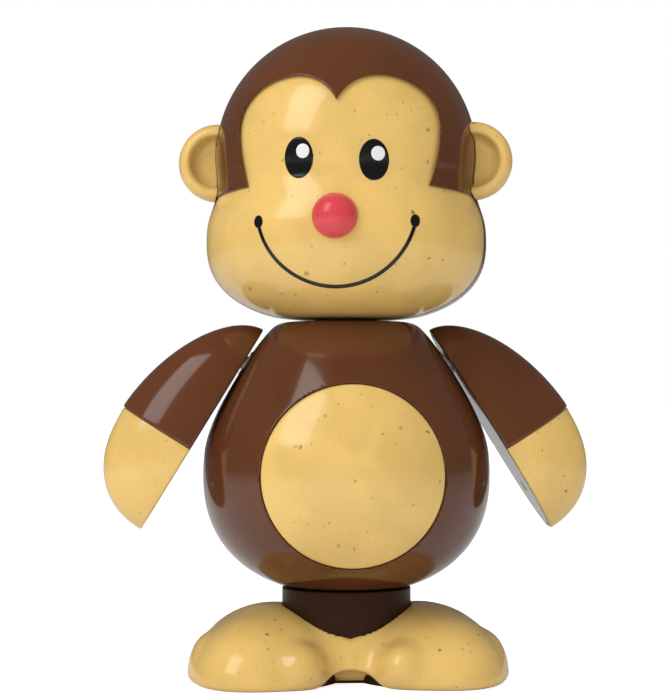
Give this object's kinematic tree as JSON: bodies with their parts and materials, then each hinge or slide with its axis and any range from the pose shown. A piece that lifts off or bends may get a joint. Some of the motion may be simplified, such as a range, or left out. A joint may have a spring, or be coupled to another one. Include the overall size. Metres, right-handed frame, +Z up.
{
  "type": "wind-up monkey figure",
  "caption": "Standing clockwork toy monkey with swinging arms, a turning head and waist, round belly disc, big feet and a winding key at the back.",
  "frame": {"origin": "on the floor, on the vertical axis through the waist and neck", "axes": "+Z up, the monkey faces -Y, left and right in names are as seen from the front, so right is +X"},
  "size_m": [0.1058, 0.083, 0.1421],
  "materials": {
    "yellow_plastic": "glossy, with fine brown specks",
    "brown_plastic": "glossy",
    "dark_plastic": "glossy",
    "nose_plastic": "satin gloss",
    "key_plastic": "glossy",
    "white_plastic": "plain moulded",
    "steel": "bright",
    "brass": "cut"
  },
  "bodies": {
    "base": {"feet_moulding": "yellow_plastic", "base_plate": "dark_plastic", "base_screws": "steel", "waist_collar": "dark_plastic"},
    "torso": {"waist_hub": "dark_plastic", "body_front_shell": "brown_plastic", "body_rear_shell": "brown_plastic", "torso_screws": "steel", "belly_disc": "yellow_plastic", "shoulder_bushes": "white_plastic", "neck_hub": "dark_plastic", "neck_clip": "dark_plastic", "motor_front_plate": "steel", "motor_rear_plate": "steel", "motor_pillars": "steel", "motor_screws": "steel", "mainspring": "steel"},
    "head": {"face_shell": "yellow_plastic", "head_hood": "brown_plastic", "head_rear_shell": "brown_plastic", "head_screws": "steel", "ear_right": "yellow_plastic", "ear_left": "yellow_plastic", "nose": "nose_plastic"},
    "arm_right": {"upper_arm_right": "brown_plastic", "hand_right": "yellow_plastic", "arm_plate_right": "dark_plastic", "arm_axle_right": "steel", "arm_screw_right": "steel"},
    "arm_left": {"upper_arm_left": "brown_plastic", "hand_left": "yellow_plastic", "arm_plate_left": "dark_plastic", "arm_axle_left": "steel", "arm_screw_left": "steel"},
    "winding": {"winding_key": "key_plastic", "winding_arbor": "steel", "great_wheel": "brass"},
    "second": {"second_wheel": "white_plastic"},
    "governor": {"governor": "white_plastic"},
    "crank": {"crank_gear": "white_plastic", "crank_disc": "white_plastic"},
    "yoke": {"drive_yoke": "white_plastic"}
  },
  "joints": [
    {"name": "waist_turn", "type": "hinge", "parent": "base", "child": "torso", "pos_m": [0, 0, 0.0194], "axis": [0, 0, 1], "range_deg": [-45, 45]},
    {"name": "neck_turn", "type": "hinge", "parent": "torso", "child": "head", "pos_m": [0, 0, 0.0773], "axis": [0, 0, 1], "range_deg": [-90, 90]},
    {"name": "arm_right_swing", "type": "hinge", "parent": "torso", "child": "arm_right", "pos_m": [0.0225, 0, 0.0686], "axis": [-0.8526, 0, -0.5225], "range_deg": [-20, 50]},
    {"name": "arm_left_swing", "type": "hinge", "parent": "torso", "child": "arm_left", "pos_m": [-0.0225, 0, 0.0686], "axis": [-0.8526, 0, 0.5225], "range_deg": [-20, 50]},
    {"name": "yoke_slide", "type": "slide", "parent": "torso", "child": "yoke", "axis": [0, 0, 1], "range_m": [-0.00188, 0.00469]},
    {"name": "winding_turn", "type": "hinge", "parent": "torso", "child": "winding", "pos_m": [0, 0, 0.042], "axis": [0, 1, 0], "continuous": true},
    {"name": "second_spin", "type": "hinge", "parent": "torso", "child": "second", "pos_m": [0.0097, 0, 0.05278], "axis": [0, 1, 0], "continuous": true},
    {"name": "governor_spin", "type": "hinge", "parent": "torso", "child": "governor", "pos_m": [0.01416, 0, 0.04439], "axis": [0, 1, 0], "continuous": true},
    {"name": "crank_spin", "type": "hinge", "parent": "torso", "child": "crank", "pos_m": [0, 0, 0.0552], "axis": [0, 1, 0], "continuous": true}
  ],
  "couplings": [
    {"joint": "arm_left_swing", "follows": "arm_right_swing", "ratio": 1},
    {"joint": "yoke_slide", "follows": "arm_right_swing", "m_per_rad": 0.0053759},
    {"joint": "second_spin", "follows": "winding_turn", "ratio": -4.8},
    {"joint": "governor_spin", "follows": "winding_turn", "ratio": 13.44},
    {"joint": "crank_spin", "follows": "winding_turn", "ratio": 11.2}
  ]
}
